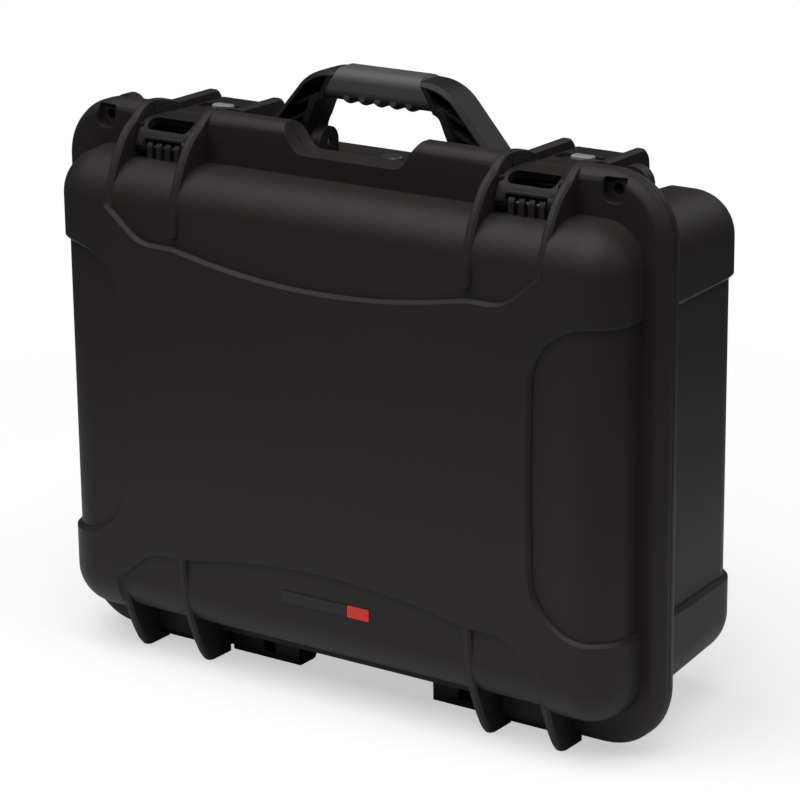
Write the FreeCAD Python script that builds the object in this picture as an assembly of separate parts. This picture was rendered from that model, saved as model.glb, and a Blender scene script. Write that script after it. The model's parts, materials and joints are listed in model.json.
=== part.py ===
import FreeCAD, Part
import math
import os
from FreeCAD import Vector

# A moulded hard case standing on its hinge side, handle up, in millimetres.
# X runs across the case, the lid is towards -Y and the base towards +Y, and Z is up from the floor.
# Depths are measured from the parting plane; save() moves every piece so that the origin lies
# on the floor under the middle of the case.

# Outer shell
CASE_WIDTH = 503.0
CASE_HEIGHT = 406.0
LID_DEPTH = 54.0
BASE_DEPTH = 138.0
PART_GAP = 0.8
SIDE_RIM = 14.0
TOP_RIM = 31.0
BOTTOM_RIM = 27.0
BODY_ROUND = 32.0
DRAFT = 3.2
WALL = 3.5

# Recessed panels of the outer faces
RECESS = 3.5
RECESS_FLARE = 8.0
RECESS_SLOPE = 2.4
SIDE_PANEL_WIDTH = 62.0
SIDE_PANEL_BOW = 2.0
SIDE_PANEL_INSET = 66.0
SIDE_PANEL_RADIUS = 43.0
END_PANEL_DEPTH = 70.0
END_PANEL_SAG = 12.5
END_PANEL_REACH = 0.92
CHANNEL_RISE = 24.0
CHANNEL_ROUND = 30.0
CHANNEL_CORNER = 3.0

# Flange and seal
FLANGE_LOW = 5.0
FLANGE_RADIUS = 46.0
FLANGE_THICK = 12.0
FLANGE_ROUND = 6.0
SCOOP_TOP_HALF = 57.0
SCOOP_FLOOR_HALF = 44.0
SCOOP_DEPTH = 20.0
SCOOP_ROUND = 12.0
GROOVE_OFFSET = 4.0
GROOVE_WIDTH = 7.0
GROOVE_DEPTH = 5.0
SEAL_DEPTH = 3.6
SEAL_CLEAR = 0.1
TONGUE_WIDTH = 3.0
TONGUE_GAP = 0.3

# Fins beside the latches and the hinges
FIN_SHARE = 0.489
FIN_PITCH = 58.0
FIN_THICK = 7.0
FIN_DROP = 4.0
FIN_EASE = 1.8
FIN_START = 77.0
FOOT_START = 88.0
FOOT_REACH = 98.0
FIN_BACK = 80.0
FIN_END_SLOPE = 6.0
FIN_END_ROUND = 11.0
FOOT_FRONT = 7.0
FOOT_SETBACK = 2.0

# Hinges
HINGE_KNUCKLE_R = 4.7
HINGE_PIN_R = 2.0
HINGE_RELIEF = 0.5
HINGE_LID_KNUCKLE = 22.0
BLOCK_INNER_X = 59.0
BLOCK_DEPTH = 21.0
BLOCK_HEIGHT = 24.0
BLOCK_POCKET = 11.0
BLOCK_POCKET_X = 86.0
BLOCK_POCKET_DEPTH = 8.0
LID_RELIEF_HEIGHT = 20.0

# Latches
LATCH_CLEAR = 0.5
LATCH_SUNK = 5.0
LATCH_KNUCKLE_R = 5.0
LATCH_SEAT_GAP = 1.5
LATCH_PIN_R = 2.0
LATCH_TOOTH = 4.6
LATCH_TOOTH_PITCH = 8.0
LATCH_TEETH = 4
CLAW_WALL = 6.0
CLAW_LEG = 9.0
CLAW_MOUTH = 6.0
CLAW_EASE = 1.2
WINDOW_LENGTH = 38.0
WINDOW_WIDTH = 14.0
WINDOW_ROUND = 5.0
WINDOW_TILT = 62.0
CATCH_GAP = 9.0
HOOK_BITE = 4.0
HOOK_GAP = 0.3
HOOK_THICK = 3.6
LEVER_PIVOT_BACK = 12.0
LEVER_BARREL_R = 8.5
LEVER_BARREL_GAP = 0.5
LEVER_PIN_R = 1.8
LEVER_RAIL = 3.5
LEVER_SIDE_GAP = 0.4
LEVER_THICK = 6.0
LEVER_FLUSH = 0.5
LEVER_LENGTH = 52.0

# Slide locks
LOCK_BACK = 23.0
LOCK_TRAVEL = 7.0
LOCK_BUTTON = (24.0, 11.0, 5.6)
LOCK_POCKET = (40.0, 14.0, 2.8)
LOCK_STEM = (12.0, 5.0)
LOCK_PLATE = 2.2
LOCK_CLEAR = 0.3
LOCK_NOTCH = 3.0
LOCK_EASE = 0.9

# Padlock points
PADLOCK_INWARD = 6.0
PADLOCK_DROP = 12.5
PADLOCK_R = 4.0
PADLOCK_POCKET = (17.0, 17.0, 6.0)
PADLOCK_BOSS_R = 12.0
PADLOCK_BOSS = 8.0

# Handle
HANDLE_BACK = 25.0
HANDLE_FLOOR_GAP = 2.5
HANDLE_RISE = 56.5
HANDLE_UNDER_RISE = 33.0
HANDLE_LEG = 37.0
HANDLE_DEPTH = 28.0
HANDLE_BOSS_R = 11.0
HANDLE_PIN_R = 2.5
HANDLE_WALL = 4.0
HANDLE_EASE = 3.0
HANDLE_RIB = 2.4
HANDLE_KNEE = 7.0
HANDLE_SHOULDER = 40.0
HANDLE_CROWN = 3.5
HANDLE_RIBS = 3
HANDLE_BACK_WALL = 3.5
EAR_THICK = 9.0
EAR_CLEAR = 0.6
EAR_TO_FIN = 12.9
GRIP_INSET = 13.0
GRIP_SLANT = 13.0
GRIP_ROUND = 9.0
GRIP_SHELL = 5.0
GRIP_PADS = 5
GRIP_PAD_PITCH = 13.0
GRIP_PAD_R = 8.0
GRIP_PAD_PROUD = 1.4

# Pressure valve
VALVE_X = -24.0
VALVE_Y = 74.0
VALVE_CAP_R = 8.5
VALVE_CAP = 3.0
VALVE_EASE = 0.8
VALVE_STEM_R = 5.0
VALVE_NUT_R = 8.0
VALVE_NUT = 4.0
VALVE_SEAL = 1.2
FIT = 0.05

# Places that several pieces share
HALF_WIDTH = CASE_WIDTH / 2
BODY_HALF = HALF_WIDTH - SIDE_RIM
FIN_X = FIN_SHARE * HALF_WIDTH
BODY_TOP = CASE_HEIGHT - TOP_RIM
BODY_MID = (BODY_TOP + BOTTOM_RIM) / 2
FIN_TOP = CASE_HEIGHT - FIN_DROP
BAY_LOW = FIN_X + FIN_THICK / 2
BAY_HIGH = FIN_X + FIN_PITCH - FIN_THICK / 2
BAY_X = (BAY_LOW + BAY_HIGH) / 2
BAY_HALF = (BAY_HIGH - BAY_LOW) / 2
HINGE_Z = FLANGE_LOW
RIM = PART_GAP / 2
LATCH_TOP = FIN_TOP - LATCH_SUNK
LATCH_PIVOT_Y = -(FLANGE_THICK + LATCH_KNUCKLE_R + LATCH_SEAT_GAP)
LATCH_PIVOT_Z = BODY_TOP - RECESS + LATCH_KNUCKLE_R + LATCH_SEAT_GAP
CATCH_Z = LATCH_TOP - CLAW_WALL - CATCH_GAP
LEVER_PIVOT_Y = FLANGE_THICK + LEVER_PIVOT_BACK
LEVER_PIVOT_Z = LATCH_TOP - LEVER_FLUSH - LEVER_BARREL_R
LEVER_END = LEVER_PIVOT_Y + LEVER_LENGTH
LOCK_Y = LEVER_PIVOT_Y + LOCK_BACK
CLAW_HALF = BAY_HALF - LATCH_CLEAR
LEVER_HALF = CLAW_HALF - LEVER_RAIL - LEVER_SIDE_GAP
PADLOCK_X = (FIN_X + FIN_PITCH + FIN_THICK / 2 + HALF_WIDTH) / 2 - PADLOCK_INWARD
PADLOCK_Z = CASE_HEIGHT - PADLOCK_DROP
HANDLE_Y = FLANGE_THICK + HANDLE_BACK
HANDLE_PIVOT_Z = BODY_TOP - RECESS + HANDLE_BOSS_R + HANDLE_FLOOR_GAP
HANDLE_TOP = HANDLE_PIVOT_Z + HANDLE_RISE
HANDLE_UNDER = HANDLE_PIVOT_Z + HANDLE_UNDER_RISE
HANDLE_FOOT_HALF = FIN_X - FIN_THICK / 2 - EAR_TO_FIN - EAR_THICK - EAR_CLEAR
HANDLE_GAP_HALF = HANDLE_FOOT_HALF - HANDLE_LEG
GRIP_HALF_LOW = HANDLE_GAP_HALF - GRIP_INSET
GRIP_HALF_HIGH = GRIP_HALF_LOW - GRIP_SLANT
BODY_ROOT = BODY_TOP - BODY_ROUND
FOOT_ROOT = BOTTOM_RIM + BODY_ROUND
ORIGIN_Y = (LID_DEPTH - BASE_DEPTH) / 2
BEYOND = 20.0


# Outlines and simple solids

def front(y):
    """Places an outline's (x, z) points in the plane of that y."""
    return lambda u, w: Vector(u, y, w)


def side(x):
    """Places an outline's (y, z) points in the plane of that x."""
    return lambda u, w: Vector(x, u, w)


def top(z):
    """Places an outline's (x, y) points in the plane of that z."""
    return lambda u, w: Vector(u, w, z)


def outline(corners, place):
    """Closed wire through (u, w, radius) corners, each rounded by its own radius."""
    edges = []
    last = None
    first = None
    for i, (u, w, radius) in enumerate(corners):
        here = Vector(u, w, 0)
        to_before = Vector(corners[i - 1][0], corners[i - 1][1], 0) - here
        after = corners[(i + 1) % len(corners)]
        to_after = Vector(after[0], after[1], 0) - here
        half = to_before.getAngle(to_after) / 2
        bends = radius and half < math.pi / 2 - 1e-4
        if bends:
            to_before.normalize()
            to_after.normalize()
            start = here + to_before * (radius / math.tan(half))
            end = here + to_after * (radius / math.tan(half))
            inward = to_before + to_after
            inward.normalize()
            middle = here + inward * (radius / math.sin(half) - radius)
        else:
            start = middle = end = here
        points = [place(p.x, p.y) for p in (start, middle, end)]
        if last is None:
            first = points[0]
        elif (points[0] - last).Length > 1e-6:
            edges.append(Part.makeLine(last, points[0]))
        if bends:
            edges.append(Part.Arc(*points).toShape())
        last = points[2]
    if (first - last).Length > 1e-6:
        edges.append(Part.makeLine(last, first))
    return Part.Wire(edges)


def slab(wire, direction):
    """Solid from a closed flat wire pushed along a direction."""
    return Part.Face(wire).extrude(direction)


def across(corners, x0, x1):
    """Solid with a (y, z) outline between two x places."""
    return slab(outline(corners, side(x0)), Vector(x1 - x0, 0, 0))


def through(corners, y0, y1):
    """Solid with an (x, z) outline between two y places."""
    return slab(outline(corners, front(y0)), Vector(0, y1 - y0, 0))


def upright(corners, z0, z1):
    """Solid with an (x, y) outline between two z places."""
    return slab(outline(corners, top(z0)), Vector(0, 0, z1 - z0))


def block(x0, x1, y0, y1, z0, z1):
    """Plain box between three pairs of places."""
    return Part.makeBox(x1 - x0, y1 - y0, z1 - z0, Vector(x0, y0, z0))


def box_corners(x0, x1, z0, z1, radius):
    """Four corners of a rounded rectangle."""
    return [(x0, z0, radius), (x1, z0, radius), (x1, z1, radius), (x0, z1, radius)]


def rod_x(radius, x0, x1, y, z):
    """Round bar along X."""
    return Part.makeCylinder(radius, x1 - x0, Vector(x0, y, z), Vector(1, 0, 0))


def rod_y(radius, y0, y1, x, z):
    """Round bar along Y."""
    return Part.makeCylinder(radius, y1 - y0, Vector(x, y0, z), Vector(0, 1, 0))


def rod_z(radius, z0, z1, x, y):
    """Round bar along Z."""
    return Part.makeCylinder(radius, z1 - z0, Vector(x, y, z0), Vector(0, 0, 1))


def middle_of(edge):
    """Point half way along an edge."""
    return edge.valueAt((edge.FirstParameter + edge.LastParameter) / 2)


def rounded(shape, radius, wanted):
    """Fillets the edges whose middle point passes a test."""
    return shape.makeFillet(radius, [e for e in shape.Edges if wanted(middle_of(e))])


def eased(shape, size, wanted):
    """Bevels the edges whose middle point passes a test."""
    return shape.makeChamfer(size, [e for e in shape.Edges if wanted(middle_of(e))])


def mirrored(shape):
    """The same shape on the other side of the case."""
    return shape.mirror(Vector(0, 0, 0), Vector(1, 0, 0))


def pair(shape):
    """A shape and its mirror image."""
    return [shape, mirrored(shape)]


def joined(shapes):
    """One clean solid from overlapping shapes."""
    return shapes[0].multiFuse(shapes[1:]).removeSplitter()


# Moulded shells

def moulded(depth, inset, towards):
    """Drafted box with rounded corners and a rounded outer face, set in from the outside all round."""
    reach = depth - inset
    shrink = math.tan(math.radians(DRAFT)) * reach
    rings = []
    for y, less in ((0.0, 0.0), (reach, shrink)):
        half = BODY_HALF - inset - less
        low = BOTTOM_RIM + inset + less
        high = BODY_TOP - inset - less
        rings.append([Vector(x, y, z) for x, z in ((-half, low), (half, low), (half, high), (-half, high))])
    near, far = rings
    loops = [near, far]
    for i in range(4):
        loops.append([near[i - 1], near[i], far[i], far[i - 1]])
    faces = [Part.Face(Part.makePolygon(loop + loop[:1])) for loop in loops]
    solid = rounded(Part.Solid(Part.Shell(faces)), BODY_ROUND - inset, lambda p: p.y > 0.01)
    return solid if towards > 0 else solid.mirror(Vector(0, 0, 0), Vector(0, 1, 0))


def side_panel(y0, y1):
    """Cutter for the recessed panel on the right end of a face, open at the outside."""
    outer = BODY_HALF + RECESS_FLARE
    inner = BODY_HALF - SIDE_PANEL_WIDTH
    low = BOTTOM_RIM + SIDE_PANEL_INSET
    high = BODY_TOP - SIDE_PANEL_INSET
    wall = BODY_HALF - RECESS
    rise = outer - wall
    corners = [
        (outer, low - rise, 0), (wall, low, 4), (inner, low, SIDE_PANEL_RADIUS),
        (inner - SIDE_PANEL_BOW, BODY_MID, 900), (inner, high, SIDE_PANEL_RADIUS),
        (wall, high, 4), (outer, high + rise, 0),
    ]
    return through(corners, y0, y1)


def end_panel(y0, y1, towards):
    """Cutter for the recessed panel at the top (1) or the bottom (-1): a bowed band and the latch channels."""
    edge = BODY_TOP - END_PANEL_DEPTH if towards > 0 else BOTTOM_RIM + END_PANEL_DEPTH
    inner = edge + towards * END_PANEL_SAG
    outer = inner + towards * CHANNEL_RISE
    far = BODY_MID + towards * CASE_HEIGHT
    bow = inner - towards * 2 * END_PANEL_SAG
    bow_radius = END_PANEL_REACH * FIN_X * FIN_X / (2 * END_PANEL_SAG)
    right = FIN_X + FIN_PITCH
    half = [(right, far, 0), (right, outer, CHANNEL_CORNER), (BAY_X, inner, CHANNEL_ROUND), (FIN_X, inner, CHANNEL_ROUND)]
    other = [(-x, z, radius) for x, z, radius in reversed(half)]
    return through(half + [(0, bow, bow_radius)] + other, y0, y1)


def skin(depth, towards):
    """Outer body of a shell, with its recessed panels."""
    proud = moulded(depth, 0, towards)
    sunk = moulded(depth, RECESS, towards)
    y0 = 0.0
    y1 = towards * (depth + BEYOND)
    cutters = pair(side_panel(y0, y1))
    for end in (1, -1):
        cutters.append(end_panel(y0, y1, end))
    tool = cutters[0].multiFuse(cutters[1:])
    body = proud.cut(tool.cut(sunk))
    return body.makeChamfer(RECESS_SLOPE, step_edges(body, proud.Shells[0]))


def step_edges(body, outside):
    """Edges where the walls of the recessed panels meet the outer surface."""
    found = []
    for edge in body.Edges:
        middle = middle_of(edge)
        if abs(middle.y) < 0.01 or outside.distToShape(Part.Vertex(middle))[0] > 0.02:
            continue
        normals = [face.normalAt(*face.Surface.parameter(middle)) for face in body.ancestorsOfType(edge, Part.Face)]
        if normals[0].getAngle(normals[-1]) > math.radians(35):
            found.append(edge)
    return found


def flange(towards):
    """Rim plate of a shell with a rounded outer edge, the latch bays and the finger scoop cut away."""
    near = towards * RIM
    far = towards * FLANGE_THICK
    corners = box_corners(-HALF_WIDTH, HALF_WIDTH, FLANGE_LOW, CASE_HEIGHT, FLANGE_RADIUS)
    plate = eased(through(corners, near, far), FLANGE_ROUND, lambda p: abs(p.y - far) < 0.01)
    bend = far - towards * FLANGE_ROUND
    plate = eased(plate, FLANGE_ROUND / 3, lambda p: abs(p.y - far) < 0.01 or abs(p.y - bend) < 0.01)
    floor = CASE_HEIGHT - SCOOP_DEPTH
    scoop = [
        (-SCOOP_FLOOR_HALF, floor, SCOOP_ROUND), (SCOOP_FLOOR_HALF, floor, SCOOP_ROUND),
        (SCOOP_TOP_HALF, CASE_HEIGHT, 0), (SCOOP_TOP_HALF, CASE_HEIGHT + BEYOND, 0),
        (-SCOOP_TOP_HALF, CASE_HEIGHT + BEYOND, 0), (-SCOOP_TOP_HALF, CASE_HEIGHT, 0),
    ]
    y0 = min(near, far) - 1
    y1 = max(near, far) + 1
    bay = block(BAY_LOW, BAY_HIGH, y0, y1, CATCH_Z, CASE_HEIGHT + BEYOND)
    gap = through(box_corners(-FIN_X, FIN_X, FLANGE_LOW - BEYOND, LID_RELIEF_HEIGHT, 4), y0, y1)
    return plate.cut([through(scoop, y0, y1), gap] + pair(bay))


def oval_quarter(centre, across_half, up_half, place):
    """Quarter of an oval in two tangent arcs, from its near side (-across) to its tip (up)."""
    y, z = centre
    wide = abs(across_half)
    tall = abs(up_half)
    slant = math.hypot(wide, tall)
    long_r = (slant * slant + (tall - wide) * slant) / (2 * wide)
    short_r = (slant * slant - (tall - wide) * slant) / (2 * tall)
    lean = math.atan2(tall - short_r, long_r - wide)

    def on_long(angle):
        return wide - long_r + long_r * math.cos(angle), long_r * math.sin(angle)

    def on_short(angle):
        return short_r * math.cos(angle), tall - short_r + short_r * math.sin(angle)

    def arc(curve, angles):
        points = [curve(angle) for angle in angles]
        turned = [(y - math.copysign(u, across_half), z + math.copysign(w, up_half)) for u, w in points]
        return Part.Arc(*[place(*p) for p in turned]).toShape()

    middle = (lean + math.pi / 2) / 2
    return [arc(on_long, (0.0, lean / 2, lean)), arc(on_short, (lean, middle, math.pi / 2))]


def curved_sides(plate, x):
    """Curved edges on the two flat sides of a fin centred on x."""
    found = []
    for edge in plate.Edges:
        at_side = abs(abs(middle_of(edge).x - x) - FIN_THICK / 2) < 0.01
        if at_side and not isinstance(edge.Curve, Part.Line):
            found.append(edge)
    return found


def lid_fin(x):
    """Right-hand lid fin that sweeps from the lid face to the top of the flange."""
    place = side(x - FIN_THICK / 2)
    start = (-LID_DEPTH, FIN_TOP - FIN_START)
    end = (-RIM, FIN_TOP)
    root = (-RIM, BODY_ROOT)
    edges = oval_quarter((-RIM, FIN_TOP - FIN_START), LID_DEPTH - RIM, FIN_START, place)
    edges += [Part.makeLine(place(*end), place(*root)), Part.makeLine(place(*root), place(*start))]
    plate = slab(Part.Wire(edges), Vector(FIN_THICK, 0, 0))
    return plate.makeChamfer(FIN_EASE, curved_sides(plate, x))


def lid_foot(x):
    """Right-hand lid fin at the hinge side, cut flat on the floor as a foot."""
    place = side(x - FIN_THICK / 2)
    start = (-LID_DEPTH, FOOT_START)
    end = (-RIM, FOOT_START - FOOT_REACH)
    root = (-RIM, FOOT_ROOT)
    edges = oval_quarter((-RIM, FOOT_START), LID_DEPTH - RIM, -FOOT_REACH, place)
    edges += [Part.makeLine(place(*end), place(*root)), Part.makeLine(place(*root), place(*start))]
    plate = slab(Part.Wire(edges), Vector(FIN_THICK, 0, 0))
    plate = plate.makeChamfer(FIN_EASE, curved_sides(plate, x))
    floor = block(x - FIN_THICK, x + FIN_THICK, -LID_DEPTH - 1, 1, -FOOT_REACH, 0)
    heel = block(x - FIN_THICK, x + FIN_THICK, -RIM - FOOT_SETBACK, 1, -FOOT_REACH, HINGE_Z)
    return plate.cut([floor, heel])


def base_fin(x):
    """Right-hand base fin, level with the lid fin and rounded off behind."""
    corners = [
        (RIM, BODY_ROOT, 0), (RIM, FIN_TOP, 0), (FIN_BACK, FIN_TOP, FIN_END_ROUND),
        (FIN_BACK + FIN_END_SLOPE, BODY_ROOT, 0),
    ]
    plate = across(corners, x - FIN_THICK / 2, x + FIN_THICK / 2)
    return eased(plate, FIN_EASE, lambda p: abs(abs(p.x - x) - FIN_THICK / 2) < 0.01
                 and p.y > RIM + 1 and p.z > BODY_ROOT + 1)


def base_foot(x):
    """Right-hand base fin at the hinge side, flat on the floor."""
    root = FOOT_ROOT
    corners = [
        (RIM, root, 0), (RIM, HINGE_Z + 1, 0), (FOOT_FRONT, HINGE_Z + 1, 0), (FOOT_FRONT, 0, 2),
        (FIN_BACK, 0, FIN_END_ROUND), (FIN_BACK + FIN_END_SLOPE, root, 0),
    ]
    return across(corners, x - FIN_THICK / 2, x + FIN_THICK / 2)


def rim_ring(inner, width, y0, y1):
    """Flat ring that follows the cavity's outline at the parting plane."""
    rings = []
    for grow in (inner + width, inner):
        inset = RECESS + WALL - grow
        half = BODY_HALF - inset
        corners = box_corners(-half, half, BOTTOM_RIM + inset, BODY_TOP - inset, BODY_ROUND - inset)
        rings.append(through(corners, y0, y1))
    return rings[0].cut(rings[1])


def hinge_spans():
    """X spans of the right hinge's base knuckles, and of the lid knuckle between them."""
    half = HINGE_LID_KNUCKLE / 2
    gap = HINGE_RELIEF
    base = [(BAY_LOW + gap, BAY_X - half - gap), (BAY_X + half + gap, BAY_HIGH - gap)]
    return base, (BAY_X - half, BAY_X + half)


def knuckle(x0, x1, towards):
    """Hinge knuckle with the web that ties it to its flange."""
    barrel = rod_x(HINGE_KNUCKLE_R, x0, x1, 0, HINGE_Z)
    reach = sorted((towards * RIM, towards * HINGE_KNUCKLE_R))
    web = block(x0, x1, reach[0], reach[1], HINGE_Z, HINGE_Z + HINGE_KNUCKLE_R + 3)
    return barrel.fuse(web)


def padlock_bores():
    """Cutters for the two padlock holes through both flanges."""
    return pair(rod_y(PADLOCK_R, -FLANGE_THICK - 1, FLANGE_THICK + PADLOCK_BOSS + 1, PADLOCK_X, PADLOCK_Z))


def lid_teeth():
    """Row of right-hand teeth that carry the latch pin on the lid."""
    teeth = []
    first = BAY_X - LATCH_TOOTH_PITCH * (LATCH_TEETH - 1) / 2
    for i in range(LATCH_TEETH):
        x0 = first + i * LATCH_TOOTH_PITCH - LATCH_TOOTH / 2
        x1 = x0 + LATCH_TOOTH
        teeth.append(rod_x(LATCH_KNUCKLE_R, x0, x1, LATCH_PIVOT_Y, LATCH_PIVOT_Z))
        foot = [
            (LATCH_PIVOT_Y - LATCH_KNUCKLE_R, LATCH_PIVOT_Z, 0),
            (LATCH_PIVOT_Y - LATCH_KNUCKLE_R, BODY_ROOT, 0),
            (-RIM - 1, BODY_ROOT, 0), (-RIM - 1, LATCH_PIVOT_Z, 0),
        ]
        teeth.append(across(foot, x0, x1))
    return joined(teeth).cut(rod_x(LATCH_PIN_R + FIT, BAY_LOW, BAY_HIGH, LATCH_PIVOT_Y, LATCH_PIVOT_Z))


def lid_shell():
    """Shallow front half of the case."""
    base_spans, lid_span = hinge_spans()
    solids = [skin(LID_DEPTH, -1), flange(-1)]
    for x in (FIN_X, FIN_X + FIN_PITCH):
        solids.extend(pair(lid_fin(x)))
        solids.extend(pair(lid_foot(x)))
    solids.extend(pair(lid_teeth()))
    shell = joined(solids)
    cuts = [moulded(LID_DEPTH, RECESS + WALL, -1)]
    cuts.append(block(-HALF_WIDTH, HALF_WIDTH, -RIM, BEYOND, -BEYOND, CASE_HEIGHT + BEYOND))
    cuts.append(rim_ring(GROOVE_OFFSET, GROOVE_WIDTH, -RIM - GROOVE_DEPTH, 0))
    for x0, x1 in base_spans:
        cuts.extend(pair(rod_x(HINGE_KNUCKLE_R + HINGE_RELIEF, x0 - HINGE_RELIEF, x1 + HINGE_RELIEF, 0, HINGE_Z)))
    wide, tall, deep = PADLOCK_POCKET
    pocket = [
        (PADLOCK_X - wide / 2, PADLOCK_Z + tall / 2, 2), (PADLOCK_X - wide / 2, PADLOCK_Z - tall / 2, wide * 0.4),
        (PADLOCK_X + wide / 2, PADLOCK_Z - tall / 2, wide * 0.4), (PADLOCK_X + wide / 2, PADLOCK_Z + tall / 2, 2),
    ]
    cuts.extend(pair(through(pocket, -FLANGE_THICK - 1, -FLANGE_THICK + deep)))
    cuts.extend(padlock_bores())
    shell = shell.cut(cuts)
    shell = joined([shell] + pair(knuckle(lid_span[0], lid_span[1], -1)))
    return shell.cut(pair(rod_x(HINGE_PIN_R + FIT, BAY_LOW, BAY_HIGH, 0, HINGE_Z)))


def handle_ears():
    """Right-hand pair of ears that carry one end of the handle."""
    root = BODY_ROOT
    ears = []
    inner = HANDLE_GAP_HALF - EAR_CLEAR
    outer = HANDLE_FOOT_HALF + EAR_CLEAR
    for x0, x1 in ((inner - EAR_THICK, inner), (outer, outer + EAR_THICK)):
        corners = [
            (HANDLE_Y - HANDLE_BOSS_R, root, 0), (HANDLE_Y + HANDLE_BOSS_R, root, 0),
            (HANDLE_Y + HANDLE_BOSS_R, HANDLE_PIVOT_Z, 0), (HANDLE_Y - HANDLE_BOSS_R, HANDLE_PIVOT_Z, 0),
        ]
        ears.append(across(corners, x0, x1))
        ears.append(rod_x(HANDLE_BOSS_R, x0, x1, HANDLE_Y, HANDLE_PIVOT_Z))
    return joined(ears)


def hinge_block():
    """Right-hand moulded block beside the hinge, with its cored pocket."""
    corners = [
        (RIM, 0, 2), (BLOCK_DEPTH, 0, 4), (BLOCK_DEPTH + 6, BLOCK_HEIGHT, 0),
        (BLOCK_DEPTH + 6, FOOT_ROOT, 0), (RIM, FOOT_ROOT, 0),
    ]
    solid = across(corners, BLOCK_INNER_X, FIN_X)
    half = BLOCK_POCKET / 2
    pocket = block(BLOCK_POCKET_X - half, BLOCK_POCKET_X + half, 0, BLOCK_POCKET_DEPTH, half, half + BLOCK_POCKET)
    return solid.cut(pocket)


def lock_notch():
    """Cutter for the notch in the outer right fin that takes the slide lock's bolt."""
    half = LOCK_STEM[1] / 2 + 2 * LOCK_CLEAR
    high = LATCH_TOP - LEVER_FLUSH - LEVER_THICK
    low = high - LOCK_PLATE - 3 * LOCK_CLEAR
    return block(BAY_HIGH - 1, BAY_HIGH + LOCK_NOTCH, LOCK_Y - half, LOCK_Y + half, low, high)


def base_shell():
    """Deep back half of the case."""
    base_spans, lid_span = hinge_spans()
    solids = [skin(BASE_DEPTH, 1), flange(1)]
    for x in (FIN_X, FIN_X + FIN_PITCH):
        solids.extend(pair(base_fin(x)))
        solids.extend(pair(base_foot(x)))
    solids.extend(pair(hinge_block()))
    solids.extend(pair(handle_ears()))
    solids.extend(pair(rod_y(PADLOCK_BOSS_R, FLANGE_THICK - 1, FLANGE_THICK + PADLOCK_BOSS, PADLOCK_X, PADLOCK_Z)))
    shell = joined(solids)
    cuts = [moulded(BASE_DEPTH, RECESS + WALL, 1)]
    cuts.append(block(-HALF_WIDTH, HALF_WIDTH, -BEYOND, RIM, -BEYOND, CASE_HEIGHT + BEYOND))
    cuts.extend(pair(rod_x(HINGE_KNUCKLE_R + HINGE_RELIEF, lid_span[0] - HINGE_RELIEF,
                           lid_span[1] + HINGE_RELIEF, 0, HINGE_Z)))
    swing = block(FIN_X - FIN_THICK / 2 - HINGE_RELIEF, FIN_X + FIN_THICK / 2 + HINGE_RELIEF, -1, FOOT_FRONT,
                  -1, HINGE_Z + 1)
    cuts.extend(pair(swing))
    cuts.extend(padlock_bores())
    cuts.extend(pair(lock_notch()))
    cuts.append(rod_z(VALVE_STEM_R + FIT, BODY_ROOT - BEYOND, CASE_HEIGHT, VALVE_X, VALVE_Y))
    cuts.append(rod_z(VALVE_CAP_R + 1, valve_seat(), CASE_HEIGHT, VALVE_X, VALVE_Y))
    shell = shell.cut(cuts)
    knuckles = []
    for x0, x1 in base_spans:
        knuckles.extend(pair(knuckle(x0, x1, 1)))
    tongue = rim_ring(GROOVE_OFFSET + (GROOVE_WIDTH - TONGUE_WIDTH) / 2, TONGUE_WIDTH,
                      SEAL_DEPTH - GROOVE_DEPTH - RIM + TONGUE_GAP, RIM + 1)
    shell = joined([shell, tongue] + knuckles)
    ear_pins = rod_x(HANDLE_PIN_R + FIT, HANDLE_GAP_HALF - EAR_CLEAR - EAR_THICK - 1,
                     HANDLE_FOOT_HALF + EAR_CLEAR + EAR_THICK - 2, HANDLE_Y, HANDLE_PIVOT_Z)
    bores = pair(rod_x(HINGE_PIN_R + FIT, BAY_LOW, BAY_HIGH, 0, HINGE_Z)) + pair(ear_pins)
    return shell.cut(bores)


def lid_seal():
    """Soft ring that sits at the bottom of the lid's groove."""
    floor = -RIM - GROOVE_DEPTH
    return rim_ring(GROOVE_OFFSET + SEAL_CLEAR, GROOVE_WIDTH - 2 * SEAL_CLEAR, floor, floor + SEAL_DEPTH)


def hinge_pin():
    """Right-hand steel hinge pin."""
    return rod_x(HINGE_PIN_R, BAY_LOW + HINGE_RELIEF, BAY_HIGH - HINGE_RELIEF, 0, HINGE_Z)


# Latches

def claw_curve():
    """Side outline of the claw's cap: knuckle height, round front, flat top."""
    radius = LATCH_TOP - LATCH_PIVOT_Z
    front_y = LATCH_PIVOT_Y - LATCH_KNUCKLE_R
    back = LEVER_PIVOT_Y - LEVER_BARREL_R - LEVER_BARREL_GAP
    inner = CLAW_WALL
    return [
        (front_y, LATCH_PIVOT_Z, 0), (front_y, LATCH_TOP, radius - 0.5), (back, LATCH_TOP, 0),
        (back, LATCH_TOP - inner, 0), (front_y + inner, LATCH_TOP - inner, radius - inner - 0.5),
        (front_y + inner, LATCH_PIVOT_Z, 0),
    ]


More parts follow.
